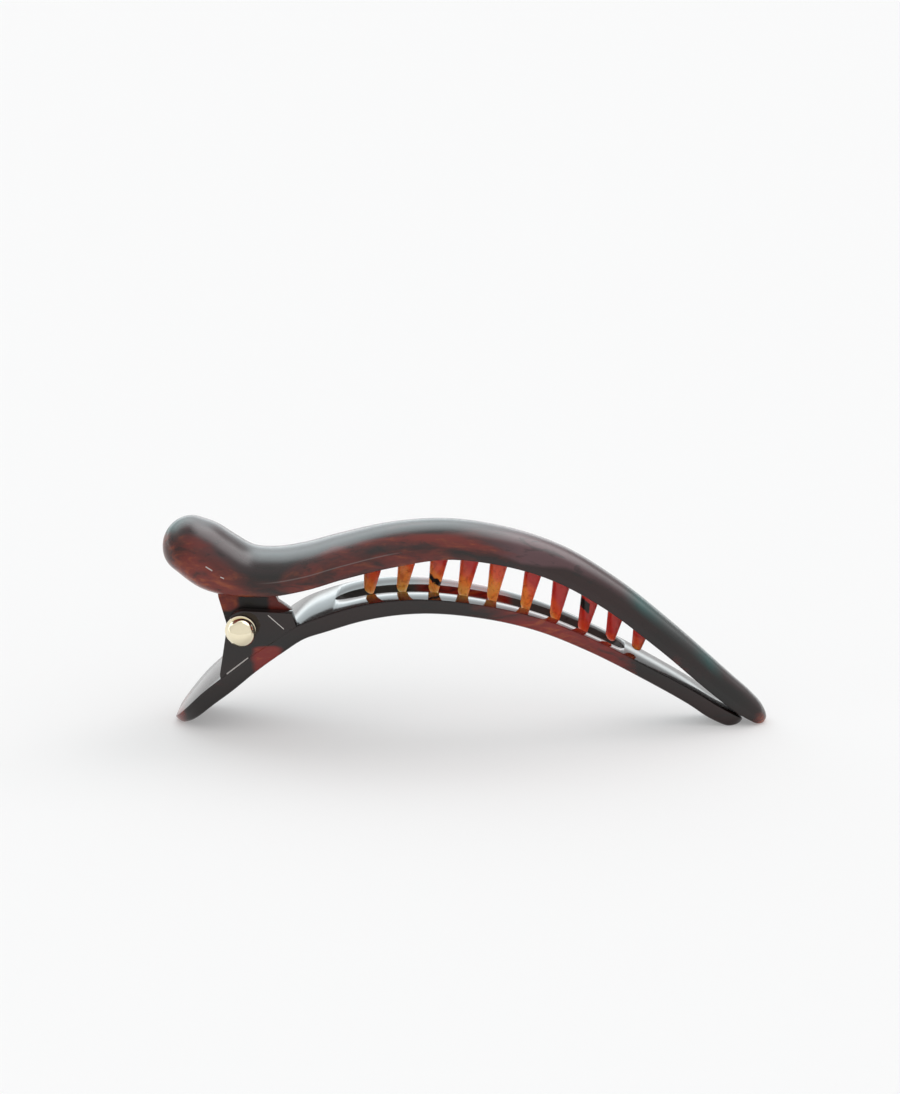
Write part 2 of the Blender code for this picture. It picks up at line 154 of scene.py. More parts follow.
NOSE_ROUNDING = 1.3
EDGE_ROUNDING = 0.3
UNDER_EDGE_ROUNDING = 0.7
CORNER_STEPS = 6
# The most of a section's half width or half thickness that its rounded corners take
CORNER_SHARE = 0.9

UPPER_JAW_ROWS = (
    # crest x, crest height, underside x, underside height, half width, widest at, squareness
    (-58.2, 43.1, -62.3, 33.6, 8.9, 0.50, 2.1),
    (-54.0, 41.5, -58.3, 31.6, 10.0, 0.45, 2.2),
    (-50.2, 40.1, -53.4, 28.5, 10.5, 0.38, 2.5),
    (-46.5, 37.7, -48.6, 27.5, 10.9, 0.27, 3.0),
    (-42.7, 35.5, -43.8, 27.6, 11.1, 0.16, 4.0),
    (-38.3, 35.2, -38.0, 28.0, 11.2, 0.09, 5.0),
    (-33.0, 36.0, -31.4, 29.4, 11.4, 0.07, 6.0),
    (-26.1, 37.9, -24.4, 31.5, 11.1, 0.07, 6.0),
    (-14.2, 40.65, -13.1, 34.0, 9.7, 0.07, 6.0),
    (-3.8, 41.35, -3.8, 35.2, 8.8, 0.08, 6.0),
    (5.9, 40.2, 4.8, 34.3, 8.0, 0.08, 6.0),
    (19.4, 36.0, 17.0, 30.7, 6.8, 0.08, 6.0),
    (31.0, 28.9, 27.8, 24.6, 6.1, 0.09, 6.0),
    (41.8, 20.2, 38.5, 16.3, 5.6, 0.09, 6.0),
    (53.9, 9.4, 50.9, 5.6, 4.6, 0.10, 6.0),
    (57.7, 6.0, 55.0, 2.4, 4.2, 0.12, 6.0),
    (59.9, 3.5, 57.3, 1.0, 3.9, 0.18, 5.0),
    (60.75, 1.8, 59.1, 0.1, 3.7, 0.20, 5.0),
    (60.95, 0.9, 60.5, -0.1, 3.5, 0.30, 4.0),
)
DOME_FULLNESS = 2.15
PAD_END_ROUNDING = 4.6
PAD_PLAN_ROUNDING = 8.0
UPPER_TIP_ROUNDING = 3.0
DOME_STEPS = 48
BELLY_STEPS = 32
END_STEPS = 16
MIDDLE_STEPS = 150

SLOT_START_X = -26.3
SLOT_END_X = 32.0
SLOT_START_LENGTH = 5.0
SLOT_END_LENGTH = 2.4
SLOT_HALF_WIDTH_START = 3.0
SLOT_HALF_WIDTH_END = 2.8
SLOT_EDGE = 0.15
SLOT_EDGE_STEPS = 3
SLOT_EDGE_DEGREES = 55
SLOT_END_POINTS = 20
# The heights that the slot's cutter reaches from and to
SLOT_CUT = (5.0, 45.0)

TOOTH_ROWS = (
    # left edge x, height, root width, lean, then a dark band's place (-1 for none) and half height as shares
    # of the length from the tip, and how far across the tooth it reaches
    (-20.55, 26.2, 3.80, 0.0, -1.0, 0.0, 0.0),
    (-14.05, 26.3, 3.65, 0.06, -1.0, 0.0, 0.0),
    (-7.65, 26.1, 3.75, 0.06, 0.30, 0.055, 1.0),
    (-1.80, 25.4, 3.95, 0.08, -1.0, 0.0, 0.0),
    (4.05, 24.4, 3.85, 0.08, -1.0, 0.0, 0.0),
    (10.75, 22.8, 3.75, 0.11, -1.0, 0.0, 0.0),
    (16.75, 20.8, 3.90, 0.07, -1.0, 0.0, 0.0),
    (22.35, 18.4, 4.00, 0.09, 0.55, 0.10, 0.45),
    (28.05, 16.8, 3.70, 0.065, -1.0, 0.0, 0.0),
    (33.35, 14.8, 3.50, 0.055, -1.0, 0.0, 0.0),
)
TOOTH_TIP_WIDTH = 1.8
# Shares of the root's width, and of the length, and how the rings crowd towards the tip
TOOTH_TIP_SHARE = 0.45
TOOTH_TIP_LENGTH = 0.09
TOOTH_CROWDING = 2.2
TOOTH_RINGS = 48
TOOTH_SIDES = 32
TOOTH_ROOT_DEPTH = 1.5
TOOTH_DEPTH_SHARE = 0.86

# The studio: soft white walls, a bright skyline and four softboxes behind the clip. They are a large one on
# the left, one higher on the right, one low on the left and a thin band all along the skyline. A side is the
# X of a direction, and a height is in degrees above the floor, seen from the side.
FRONT_WALL = 0.85
BACK_WALL = 0.62
# The depth, the Y of a direction, at which the front wall ends and the back wall begins
WALL_DEPTHS = (-0.2, 0.9)
SKYLINE = 0.94
SKYLINE_HEIGHTS = (2.0, 8.0)
SOFTBOXES = (
    # left side, right side, low and high, each followed by its soft edge, then power and colour
    (-0.85, 0.30, -0.02, 0.36, 14.0, 16.0, 47.0, 18.0, 2.2, (0.84, 0.97, 1.0)),
    (0.02, 0.24, 0.52, 0.30, 28.0, 14.0, 62.0, 24.0, 2.6, (0.98, 0.96, 0.97)),
    (-0.85, 0.30, 0.0, 0.40, 4.0, 3.0, 10.0, 14.0, 1.15, (0.80, 0.95, 1.0)),
    (-1.6, 0.3, 1.6, 0.3, 1.5, 3.0, 5.0, 4.0, 1.9, (0.93, 0.99, 1.0)),
)
# The floor's corners are in metres
FLOOR_CORNERS = ((-8, -4), (8, -4), (8, 12), (-8, 12))
FLOOR_WHITE = (0.595, 0.585, 0.582)
FLOOR_GLOW = 0.255

# The camera's place and aim, in mm, and its lens
CAMERA_PLACE = (9.5, -485.0, 156.8)
CAMERA_AIM = (-3.2, 0.0, 35.83)
CAMERA_LENS = 82.27


class Nodes:
    """Builds a node tree a node at a time: inputs are given by name or number, links by socket."""

    def __init__(self, tree):
        self.tree = tree

    def add(self, kind, inputs=None, **settings):
        node = self.tree.nodes.new(kind)
        for name, value in settings.items():
            setattr(node, name, value)
        for name, value in (inputs or {}).items():
            self.feed(node.inputs[name], value)
        return node

    def feed(self, socket, value):
        """Links the socket to another, or sets it where the value is the same everywhere."""
        if isinstance(value, bpy.types.NodeSocket):
            self.tree.links.new(value, socket)
        else:
            socket.default_value = value

    def math(self, operation, first, second=0.0, third=0.0, clamp=False):
        values = {0: first, 1: second, 2: third}
        return self.add("ShaderNodeMath", values, operation=operation, use_clamp=clamp).outputs[0]


# Meshes


def add_object(name, data):
    made = bpy.data.objects.new(name, data)
    bpy.context.scene.collection.objects.link(made)
    return made


def mesh_object(name, mesh):
    bmesh.ops.recalc_face_normals(mesh, faces=mesh.faces)
    data = bpy.data.meshes.new(name)
    mesh.to_mesh(data)
    mesh.free()
    return add_object(name, data)


def plain_mesh(obj):
    """The object with its modifiers applied, and without them."""
    bpy.context.view_layer.update()
    evaluated = obj.evaluated_get(bpy.context.evaluated_depsgraph_get())
    data = bpy.data.meshes.new_from_object(evaluated)
    data.name = obj.name
    if obj.type == "MESH":
        obj.modifiers.clear()
        obj.data = data
        return obj
    name = obj.name
    bpy.data.objects.remove(obj)
    return add_object(name, data)


def join(name, objects):
    """One piece of several meshes that are one moulding."""
    mesh = bmesh.new()
    for obj in objects:
        part = obj.data.copy()
        part.transform(obj.matrix_world)
        mesh.from_mesh(part)
        bpy.data.meshes.remove(part)
    data = bpy.data.meshes.new(name)
    mesh.to_mesh(data)
    mesh.free()
    for obj in objects:
        bpy.data.objects.remove(obj)
    return add_object(name, data)


def weld(obj, open_ends=False):
    """Joins the points that meet and turns the faces outwards. A piece with open ends loses its end faces."""
    mesh = bmesh.new()
    mesh.from_mesh(obj.data)
    if open_ends:
        ends = [face for face in mesh.faces if len(face.verts) > 4]
        bmesh.ops.delete(mesh, geom=ends, context="FACES_ONLY")
    bmesh.ops.remove_doubles(mesh, verts=mesh.verts, dist=WELD)
    bmesh.ops.recalc_face_normals(mesh, faces=mesh.faces)
    mesh.to_mesh(obj.data)
    mesh.free()
    return obj


def smooth_table(rows, at):
    """A table's columns where the curve through its rows has gone the share `at`, and that curve's length."""
    table = np.array(rows)
    steps = np.hypot(*np.diff(table[:, :2], axis=0).T)
    knots = np.concatenate([[0.0], np.cumsum(steps)])
    here = np.clip(at, 0.0, 1.0) * knots[-1]
    i = np.clip(np.searchsorted(knots, here) - 1, 0, len(knots) - 2)
    span = (knots[i + 1] - knots[i])[:, None]
    u = ((here - knots[i]) / span[:, 0])[:, None]
    slopes = np.gradient(table, knots, axis=0)
    return (
        (2 * u**3 - 3 * u**2 + 1) * table[i]
        + (u**3 - 2 * u**2 + u) * span * slopes[i]
        + (3 * u**2 - 2 * u**3) * table[i + 1]
        + (u**3 - u**2) * span * slopes[i + 1]
    ), knots[-1]


def stations(length, start_rounding, end_rounding):
    """Distances along a jaw, close together in its rounded ends."""
    turn = np.linspace(0.02, 1.0, END_STEPS) * math.pi / 2
    start = start_rounding * (1 - np.cos(turn))
    end = length - end_rounding * (1 - np.cos(turn))
    middle = np.linspace(start[-1], end[-1], MIDDLE_STEPS)[1:-1]
    return np.concatenate([start, middle, end[::-1]])


def round_off(distance, rounding):
    """How much of its full size a rounded end has at a distance from its tip."""
    return np.sqrt(1 - np.clip(1 - distance / rounding, 0.0, 1.0) ** 2)


def loft(name, centres, normals, rings):
    """A closed skin through flat rings of (across, up) points, each ring set on the curve of the jaw.

    The attribute `rise` keeps how high a point stands in its own ring.
    """
    mesh = bmesh.new()
    rise = mesh.verts.layers.float.new("rise")
    rows = []
    for (x, z), (normal_x, normal_z), ring in zip(centres, normals, rings):
        low = min(up for _, up in ring)
        high = max(up for _, up in ring)
        row = []
        for y, up in ring:
            vertex = mesh.verts.new(((x + up * normal_x) * MM, y * MM, max(z + up * normal_z, 0.0) * MM))
            vertex[rise] = (up - low) / (high - low)
            row.append(vertex)
        rows.append(row)
    count = len(rows[0])
    for first, second in zip(rows, rows[1:]):
        for k in range(count):
            following = (k + 1) % count
            mesh.faces.new((first[k], first[following], second[following], second[k]))
    mesh.faces.new(rows[0][::-1])
    mesh.faces.new(rows[-1])
    return mesh_object(name, mesh)


def bar_ring(half_width, thickness, share):
    """The lower jaw's section: a flat bar with soft edges, with a share of its thickness at a rounded end."""
    top = -thickness * (1 - share) / 2
    bottom = -thickness * (1 + share) / 2
    most = min(half_width, (top - bottom) / 2) * CORNER_SHARE
    upper = min(EDGE_ROUNDING, most)
    lower = min(UNDER_EDGE_ROUNDING, most)
    ring = []
    for y, up, radius, start in (
        (half_width - upper, top - upper, upper, 0),
        (-half_width + upper, top - upper, upper, 90),
        (-half_width + lower, bottom + lower, lower, 180),
        (half_width - lower, bottom + lower, lower, 270),
    ):
        for step in range(CORNER_STEPS):
            turn = math.radians(start + step * 90 / (CORNER_STEPS - 1))
            ring.append((y + radius * math.cos(turn), up + radius * math.sin(turn)))
    return ring


def dome_ring(half_width, dome, belly, squareness):
    """The upper jaw's section: a dome over a flatter belly."""
    ring = []
    for turn in np.linspace(0.0, math.pi, DOME_STEPS + 1)[:-1]:
        across = math.copysign(abs(math.cos(turn)) ** (2 / DOME_FULLNESS), math.cos(turn))
        ring.append((half_width * across, dome * math.sin(turn) ** (2 / DOME_FULLNESS)))
    for turn in np.linspace(0.0, math.pi, BELLY_STEPS + 1)[:-1]:
        across = math.copysign(abs(math.cos(turn)) ** (2 / squareness), math.cos(turn))
        ring.append((-half_width * across, -belly * math.sin(turn) ** (2 / squareness)))
    return ring


def lower_jaw_strip():
    _, length = smooth_table(LOWER_JAW_ROWS, np.zeros(1))
    distances = stations(length, TAB_END_ROUNDING, LOWER_TIP_ROUNDING)
    table, _ = smooth_table(LOWER_JAW_ROWS, distances / length)
    centres = table[:, :2]
    along = np.gradient(centres, distances, axis=0)
    along /= np.linalg.norm(along, axis=1)[:, None]
    normals = np.stack([-along[:, 1], along[:, 0]], axis=1)
    widths = round_off(distances, TAB_END_ROUNDING) * round_off(length - distances, LOWER_TIP_ROUNDING)
    nose = round_off(distances, NOSE_ROUNDING) * round_off(length - distances, NOSE_ROUNDING)
    rings = [bar_ring(row[2] * width, row[3], share) for row, width, share in zip(table, widths, nose)]
    return loft("lower_jaw_strip", centres, normals, rings)


def upper_jaw_dome():
    _, length = smooth_table(UPPER_JAW_ROWS, np.zeros(1))
    distances = stations(length, PAD_PLAN_ROUNDING, UPPER_TIP_ROUNDING)
    table, _ = smooth_table(UPPER_JAW_ROWS, distances / length)
    crests = table[:, 0:2]
    undersides = table[:, 2:4]
    heights = np.linalg.norm(crests - undersides, axis=1)
    normals = (crests - undersides) / heights[:, None]
    centres = undersides + (crests - undersides) * table[:, 5:6]
    widths = round_off(distances, PAD_PLAN_ROUNDING) * round_off(length - distances, UPPER_TIP_ROUNDING)
    ends = round_off(distances, PAD_END_ROUNDING)
    rings = [
        dome_ring(row[4] * width, height * (1 - row[5]) * end, height * row[5] * end, row[6])
        for row, height, width, end in zip(table, heights, widths, ends)
    ]
    return loft("upper_jaw_dome", centres, normals, rings)


def plate(name, outlines, thickness, edge):
    """A flat plate across Y with soft edges: the first outline is its rim and any others are holes in it."""
    curve = bpy.data.curves.new(name, "CURVE")
    curve.dimensions = "2D"
    curve.fill_mode = "BOTH"
    curve.extrude = (thickness / 2 - edge) * MM
    curve.bevel_depth = edge * MM
    curve.bevel_resolution = EAR_BEVEL_STEPS
    curve.offset = -edge * MM
    for outline in outlines:
        spline = curve.splines.new("POLY")
        spline.points.add(len(outline) - 1)
        for point, (x, z) in zip(spline.points, outline):
            point.co = (x * MM, z * MM, 0.0, 1.0)
        spline.use_cyclic_u = True
    return weld(plain_mesh(add_object(name, curve)))


def arc(radius, start_degrees, end_degrees):
    """Points round the pivot."""
    turns = np.radians(np.linspace(start_degrees, end_degrees, ARC_POINTS))
    return [(PIVOT_X + radius * math.cos(turn), PIVOT_Z + radius * math.sin(turn)) for turn in turns]


def ear(name, outline, side, middle_y, thickness):
    bore = arc(PIN_BORE_RADIUS, 0, 345)
    made = plate(name, (outline, bore), thickness, EAR_EDGE)
    made.rotation_euler = (math.pi / 2, 0.0, 0.0)
    made.location = (0.0, side * middle_y * MM, 0.0)
    bpy.context.view_layer.update()
    return made


def lower_ear(name, side):
    sides = LOWER_EAR_SIDES if side < 0 else FAR_LOWER_EAR_SIDES
    outline = arc(LOWER_EAR_RADIUS, 180, 90) + list(sides)
    return ear(name, outline, side, LOWER_EAR_OUTER_Y - LOWER_EAR_THICKNESS / 2, LOWER_EAR_THICKNESS)


def upper_ear(name, side):
    sides = UPPER_EAR_SIDES if side < 0 else FAR_UPPER_EAR_SIDES
    outline = arc(UPPER_EAR_RADIUS, 180, 315) + list(sides)
    outer = LOWER_EAR_OUTER_Y - LOWER_EAR_THICKNESS - EAR_GAP
    return ear(name, outline, side, outer - UPPER_EAR_THICKNESS / 2, UPPER_EAR_THICKNESS)


def slot_cutter():
    """The slot's outline seen from above, pushed straight through the lower jaw."""
    outline = []
    turns = np.linspace(0.0, math.pi / 2, SLOT_END_POINTS)
    start_middle = SLOT_START_X + SLOT_START_LENGTH
    end_middle = SLOT_END_X - SLOT_END_LENGTH
    for turn in turns:
        x = start_middle - SLOT_START_LENGTH * math.cos(turn)
        outline.append((x, SLOT_HALF_WIDTH_START * math.sin(turn)))
    for turn in turns[::-1]:
        x = end_middle + SLOT_END_LENGTH * math.cos(turn)
        outline.append((x, SLOT_HALF_WIDTH_END * math.sin(turn)))
    outline += [(x, -y) for x, y in outline[-2:0:-1]]
    mesh = bmesh.new()
    low, high = [[mesh.verts.new((x * MM, y * MM, z * MM)) for x, y in outline] for z in SLOT_CUT]
    mesh.faces.new(low[::-1])
    mesh.faces.new(high)
    for k in range(len(outline)):
        following = (k + 1) % len(outline)
        mesh.faces.new((low[k], low[following], high[following], high[k]))
    return mesh_object("slot_cutter", mesh)


def cut_slot(strip):
    cutter = slot_cutter()
    cut = strip.modifiers.new("slot", "BOOLEAN")
    cut.operation = "DIFFERENCE"
    cut.solver = "EXACT"
    cut.object = cutter
    soften = strip.modifiers.new("slot_edge", "BEVEL")
    soften.width = SLOT_EDGE * MM
    soften.segments = SLOT_EDGE_STEPS
    soften.limit_method = "ANGLE"
    soften.angle_limit = math.radians(SLOT_EDGE_DEGREES)
    plain_mesh(strip)
    bpy.data.objects.remove(cutter)
    return strip


def lathe(name, profile, side, middle_x=PIVOT_X, middle_z=PIVOT_Z):
    """A turned piece across the clip: the profile's rows are distance across from the middle and radius."""
    mesh = bmesh.new()
    rings = []
    for y, radius in profile:
        ring = []
        for k in range(TURNED_STEPS):
            turn = 2 * math.pi * k / TURNED_STEPS
            place = (middle_x + radius * math.cos(turn), side * y, middle_z + radius * math.sin(turn))
            ring.append(mesh.verts.new([value * MM for value in place]))
        rings.append(ring)
    for first, second in zip(rings, rings[1:]):
        for k in range(TURNED_STEPS):
            following = (k + 1) % TURNED_STEPS
            mesh.faces.new((first[k], first[following], second[following], second[k]))
    for ring in (rings[0], rings[-1]):
        mesh.faces.new(ring)
    return mesh_object(name, mesh)


def gold_ball(name, side):
    """A ball with a blind bore for the pin's end."""
    mouth = math.asin(PIN_BORE_RADIUS / BALL_RADIUS)
    turns = np.linspace(mouth, math.pi - 0.01, BALL_STEPS)
    profile = [(BALL_BORE_END_Y, 0.02), (BALL_BORE_END_Y, PIN_BORE_RADIUS)]
    profile += [
        (BALL_CENTRE_Y - BALL_RADIUS * math.cos(turn), BALL_RADIUS * math.sin(turn)) for turn in turns
    ]
    return lathe(name, profile, side)


def gold_washer(name, side):
    """A thin loose disc with a soft rim and a hole for the pin."""
    outer_y = WASHER_INNER_Y + WASHER_THICKNESS
    profile = [(WASHER_INNER_Y, WASHER_BORE_RADIUS), (WASHER_INNER_Y, WASHER_RADIUS)]
    for turn in np.linspace(0.0, math.pi / 2, WASHER_RIM_STEPS):
        profile.append((
            outer_y - WASHER_RIM + WASHER_RIM * math.sin(turn),
            WASHER_RADIUS - WASHER_RIM + WASHER_RIM * math.cos(turn),
        ))
    profile += [(outer_y, WASHER_BORE_RADIUS), (WASHER_INNER_Y, WASHER_BORE_RADIUS)]
    return weld(lathe(name, profile, side, WASHER_X, WASHER_Z), open_ends=True)


# What repeats or follows a path, by Geometry Nodes


def new_tree(name, inputs):
    """A geometry tree with named inputs, its group input and its output node."""
    tree = bpy.data.node_groups.new(name, "GeometryNodeTree")
    tree.interface.new_socket("Geometry", in_out="INPUT", socket_type="NodeSocketGeometry")
    for label, kind in inputs:
        tree.interface.new_socket(label, in_out="INPUT", socket_type=kind)
    tree.interface.new_socket("Geometry", in_out="OUTPUT", socket_type="NodeSocketGeometry")
    return tree, tree.nodes.new("NodeGroupInput"), tree.nodes.new("NodeGroupOutput")


def end_tree(n, geometry, given, out):
    """Makes the instances real, smooths and finishes them, and hands them to the output."""
    real = n.add("GeometryNodeRealizeInstances", {"Geometry": geometry})
    shaded = n.add("GeometryNodeSetShadeSmooth", {"Geometry": real.outputs[0], "Shade Smooth": True})
    dressed = {"Geometry": shaded.outputs[0], "Material": given.outputs["Finish"]}
    n.feed(out.inputs[0], n.add("GeometryNodeSetMaterial", dressed).outputs[0])


def run_tree(obj, tree, values):
    """Gives the object the tree, sets its inputs by their identifiers and makes the result a plain mesh."""
    modifier = obj.modifiers.new(tree.name, "NODES")
    modifier.node_group = tree
    for item in tree.interface.items_tree:
        if item.item_type == "SOCKET" and item.in_out == "INPUT" and item.name in values:
            modifier[item.identifier] = values[item.name]
    return plain_mesh(obj)


def tooth_tree():
    """Stands a tapered tooth on each point: its left edge is straight and its tip round."""
    sizes = (("Tip share", "NodeSocketFloat"), ("Tip length", "NodeSocketFloat"))
    tree, given, out = new_tree("row_of_teeth", (*sizes, ("Finish", "NodeSocketMaterial")))
    n = Nodes(tree)
    line = n.add("GeometryNodeCurvePrimitiveLine", {"Start": (0, 0, 0), "End": (0, 0, 1)})
    fine = n.add("GeometryNodeResampleCurve", {"Curve": line.outputs[0], "Count": TOOTH_RINGS})
    along = n.add("GeometryNodeSplineParameter").outputs["Factor"]
    eased = n.math("POWER", along, TOOTH_CROWDING)
    kept = n.add(
        "GeometryNodeStoreNamedAttribute", {"Geometry": fine.outputs[0], "Name": "from_tip", "Value": eased}
    )
    from_tip = n.add("GeometryNodeInputNamedAttribute", {"Name": "from_tip"}, data_type="FLOAT").outputs[0]
    taper = n.math("MULTIPLY", from_tip, n.math("SUBTRACT", 1.0, given.outputs["Tip share"]))
    width = n.math("ADD", taper, given.outputs["Tip share"])
    left = n.math("SUBTRACT", 1.0, n.math("DIVIDE", from_tip, given.outputs["Tip length"], clamp=True))
    rounding = n.math("SQRT", n.math("SUBTRACT", 1.0, n.math("MULTIPLY", left, left)))
    radius = n.math("MULTIPLY", n.math("MULTIPLY", width, 0.5), n.math("MAXIMUM", rounding, 0.02))
    place = n.add("ShaderNodeCombineXYZ", {"X": n.math("MULTIPLY", width, 0.5), "Z": from_tip})
    leaned = n.add("GeometryNodeSetPosition", {"Geometry": kept.outputs[0], "Position": place.outputs[0]})
    section = n.add("GeometryNodeCurvePrimitiveCircle", {"Resolution": TOOTH_SIDES, "Radius": 1.0})
    skin = n.add(
        "GeometryNodeCurveToMesh",
        {"Curve": leaned.outputs[0], "Profile Curve": section.outputs[0], "Scale": radius, "Fill Caps": True},
    )
    across = n.add("ShaderNodeSeparateXYZ", {0: n.add("GeometryNodeInputPosition").outputs[0]}).outputs["X"]
    marked = n.add(
        "GeometryNodeStoreNamedAttribute", {"Geometry": skin.outputs[0], "Name": "across", "Value": across}
    )
    size = n.add("GeometryNodeInputNamedAttribute", {"Name": "size"}, data_type="FLOAT_VECTOR").outputs[0]
    turn = n.add("GeometryNodeInputNamedAttribute", {"Name": "turn"}, data_type="FLOAT_VECTOR").outputs[0]
    placed = n.add(
        "GeometryNodeInstanceOnPoints",
        {"Points": given.outputs["Geometry"], "Instance": marked.outputs[0], "Scale": size, "Rotation": turn},
    )
    end_tree(n, placed.outputs[0], given, out)
    return tree


def underside_height(x):
    rows = np.array(UPPER_JAW_ROWS)
    return float(np.interp(x, rows[:, 2], rows[:, 3]))


def teeth(finish):
    """The ten teeth under the upper jaw, rooted in it."""
    data = bpy.data.meshes.new("teeth")
    data.from_pydata([(row[0] * MM, 0.0, row[1] * MM) for row in TOOTH_ROWS], [], [])
    sizes = []
    turns = []
    for left_x, tip_z, root_width, lean, *_ in TOOTH_ROWS:
        seen = underside_height(left_x + TOOTH_TIP_WIDTH / 2) - tip_z
        length = seen + TOOTH_ROOT_DEPTH
        full_width = TOOTH_TIP_WIDTH + (root_width - TOOTH_TIP_WIDTH) * length / seen
        sizes += [full_width * MM, full_width * TOOTH_DEPTH_SHARE * MM, length * MM]
        turns += [0.0, math.atan(lean), 0.0]
    for name, kind, field, values in (
        ("size", "FLOAT_VECTOR", "vector", sizes),
        ("turn", "FLOAT_VECTOR", "vector", turns),
        ("band_place", "FLOAT", "value", [row[4] for row in TOOTH_ROWS]),
        ("band_half", "FLOAT", "value", [row[5] for row in TOOTH_ROWS]),
        ("band_reach", "FLOAT", "value", [row[6] for row in TOOTH_ROWS]),
    ):
        data.attributes.new(name, kind, "POINT")
        data.attributes[name].data.foreach_set(field, values)
    made = add_object("teeth", data)
    sizes_of_tooth = {"Tip share": TOOTH_TIP_SHARE, "Tip length": TOOTH_TIP_LENGTH}
    return run_tree(made, tooth_tree(), {**sizes_of_tooth, "Finish": finish})


def wire_tree():
    """Sweeps a round wire along the path, with flat ends."""
    sizes = (("Wire radius", "NodeSocketFloat"), ("Sides", "NodeSocketInt"))
    tree, given, out = new_tree("wire_along_path", (*sizes, ("Finish", "NodeSocketMaterial")))
    n = Nodes(tree)
    path = n.add("GeometryNodeMeshToCurve", {"Mesh": given.outputs["Geometry"]})
    section = n.add(
        "GeometryNodeCurvePrimitiveCircle",
        {"Resolution": given.outputs["Sides"], "Radius": given.outputs["Wire radius"]},
    )
    skin = n.add(
        "GeometryNodeCurveToMesh",
        {"Curve": path.outputs[0], "Profile Curve": section.outputs[0], "Fill Caps": True},
    )
    end_tree(n, skin.outputs[0], given, out)
    return tree


def tangent_turn(end, side):
    """The turn round the coil at which a straight leg to the point `end` leaves it."""
    dx = end[0] - PIVOT_X
    dz = end[1] - PIVOT_Z
    return math.atan2(dz, dx) + side * math.acos(COIL_RADIUS / math.hypot(dx, dz))


def coil_spring(finish):
    """A coil round the pin with a straight leg to each jaw."""
    half = COIL_TURNS * COIL_PITCH / 2
    start = tangent_turn(LOWER_LEG_END, 1)
    end = tangent_turn(UPPER_LEG_END, -1)
    sweep = (end - start) % (2 * math.pi) + 2 * math.pi * COIL_TURNS
    count = round(sweep / (2 * math.pi) * COIL_POINTS)
    route = [(LOWER_LEG_END[0], -half, LOWER_LEG_END[1])]
    for k in range(count + 1):
        turn = start + sweep * k / count
        y = -half + 2 * half * k / count
        route.append((PIVOT_X + COIL_RADIUS * math.cos(turn), y, PIVOT_Z + COIL_RADIUS * math.sin(turn)))
    route.append((UPPER_LEG_END[0], half, UPPER_LEG_END[1]))
    data = bpy.data.meshes.new("coil_spring")
    points = [[value * MM for value in place] for place in route]
    data.from_pydata(points, [(k, k + 1) for k in range(len(points) - 1)], [])
    made = add_object("coil_spring", data)
    sizes_of_wire = {"Wire radius": WIRE_RADIUS * MM, "Sides": WIRE_SIDES}
    return run_tree(made, wire_tree(), {**sizes_of_wire, "Finish": finish})


# Finishes


def new_material(name):
    made = bpy.data.materials.new(name)
    made.use_nodes = True
    tree = made.node_tree
    return made, Nodes(tree), tree.nodes["Principled BSDF"]


def ramp(n, factor, stops, interpolation="EASE"):
    """A colour ramp of (place, colour) stops; a plain number stands for a grey."""
    node = n.add("ShaderNodeValToRGB", {0: factor})
    node.color_ramp.interpolation = interpolation
    elements = node.color_ramp.elements
    while len(elements) < len(stops):
        elements.new(0.5)
    for element, (place, colour) in zip(elements, stops):
        element.position = place
        element.color = (colour, colour, colour, 1.0) if isinstance(colour, float) else (*colour, 1.0)
    return node.outputs[0]


def mix(n, factor, first, second):
    node = n.add("ShaderNodeMix", data_type="RGBA")
    for socket, value in ((node.inputs[0], factor), (node.inputs[6], first), (node.inputs[7], second)):
        n.feed(socket, (*value, 1.0) if isinstance(value, tuple) else value)
    return node.outputs[2]


def noise(n, place, scale, detail, roughness, distortion, seed):
    """A noise field, where another seed gives another pattern."""
    inputs = {"Vector": place, "W": seed, "Scale": scale}
    inputs.update({"Detail": detail, "Roughness": roughness, "Distortion": distortion})
    return n.add("ShaderNodeTexNoise", inputs, noise_dimensions="4D").outputs["Fac"]


CHARCOAL = (0.0075, 0.0085, 0.0075)
DEEP_BROWN = (0.022, 0.0080, 0.0070)
UPPER_RED_BROWN = (0.150, 0.018, 0.012)
LOWER_RED_BROWN = (0.19, 0.013, 0.009)
AMBER = (0.36, 0.085, 0.020)
# A painted sheen: teal standing in for the sky reflected near the crest
PAINTED_TEAL_SHEEN = (0.004, 0.085, 0.080)
# Painted bounce light: lifts the shaded walls of the slot
SLOT_BOUNCE_LIGHT = (0.070, 0.070, 0.066)
# Painted highlights: the pale colour of thin glints on edges and on the dome
PAINTED_HIGHLIGHT = (0.50, 0.47, 0.45)
# A painted reflection: the mauve sheen of the sky on the dome's top
PAINTED_MAUVE_SHEEN = (0.115, 0.055, 0.062)
# The teeth's own amber from dark red at the root to pale at the tip, made brighter to paint in the glow of
# light passing through them
TOOTH_AMBERS = (
    # place from the tip, colour
    (0.00, (0.98, 0.62, 0.22)),
    (0.12, (0.96, 0.46, 0.11)),
    (0.35, (0.95, 0.30, 0.065)),
    (0.55, (0.80, 0.12, 0.040)),
    (0.80, (0.57, 0.036, 0.028)),
)
TOOTH_GRAIN = (0.40, 0.030, 0.012)
TOOTH_GRAIN_STRENGTH = 0.45
TOOTH_SWAY = 0.9
BAND_BLACK = (0.012, 0.011, 0.010)
BAND_WANDER = 0.05
PALE_GOLD = (0.93, 0.84, 0.62)
WIRE_STEEL = (0.52, 0.52, 0.54)
PIN_STEEL = (0.60, 0.60, 0.61)
METAL_MARK_SCALE = 900.0
METAL_MARK_STRENGTH = 0.35
METAL_MARK_SHADE = 0.82

